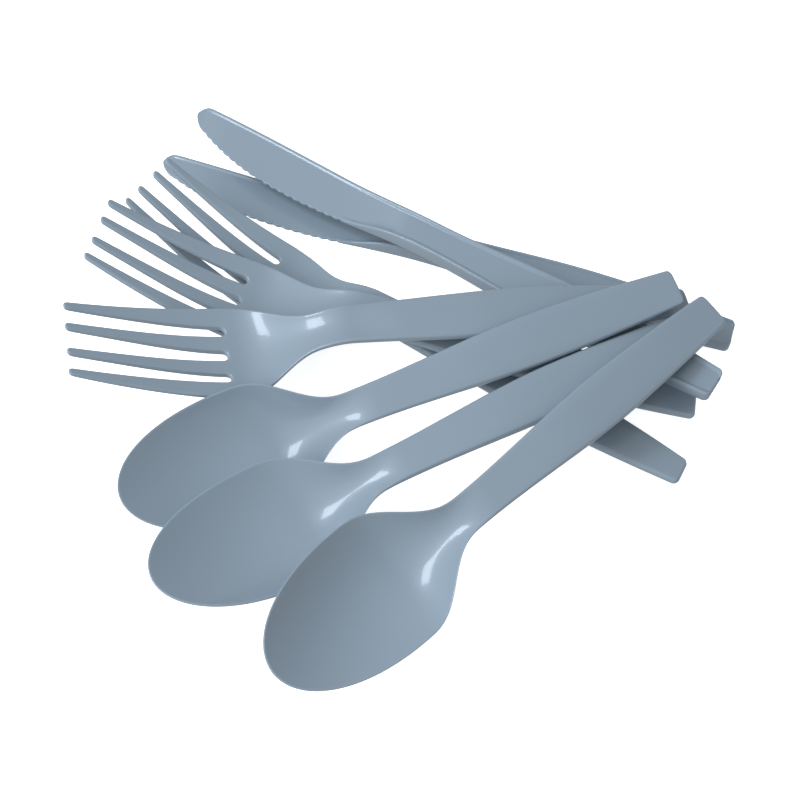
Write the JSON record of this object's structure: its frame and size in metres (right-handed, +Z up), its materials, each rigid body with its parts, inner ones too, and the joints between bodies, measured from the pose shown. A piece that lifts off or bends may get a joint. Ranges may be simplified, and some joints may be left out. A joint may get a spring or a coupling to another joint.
{
  "type": "plastic cutlery pack",
  "caption": "Loose fan of glossy moulded plastic spoons, four-tined forks and fine-toothed knives, lying on each other with the butts crossed.",
  "frame": {"origin": "middle of the pack's footprint, on the table", "axes": "+Z up from the table; heads and blades fan out towards -X, butts cross towards +X; +Y away from the spoon bowls, towards the knives"},
  "size_m": [0.1814, 0.1896, 0.0299],
  "materials": {
    "moulded_plastic": "smooth injection-moulded plastic, blue-grey, semi-gloss"
  },
  "bodies": {
    "root": {"knife_lower": "moulded_plastic", "knife_upper": "moulded_plastic", "fork_back": "moulded_plastic", "fork_middle": "moulded_plastic", "fork_front": "moulded_plastic", "spoon_middle": "moulded_plastic", "spoon_back": "moulded_plastic", "spoon_front": "moulded_plastic"}
  },
  "joints": []
}
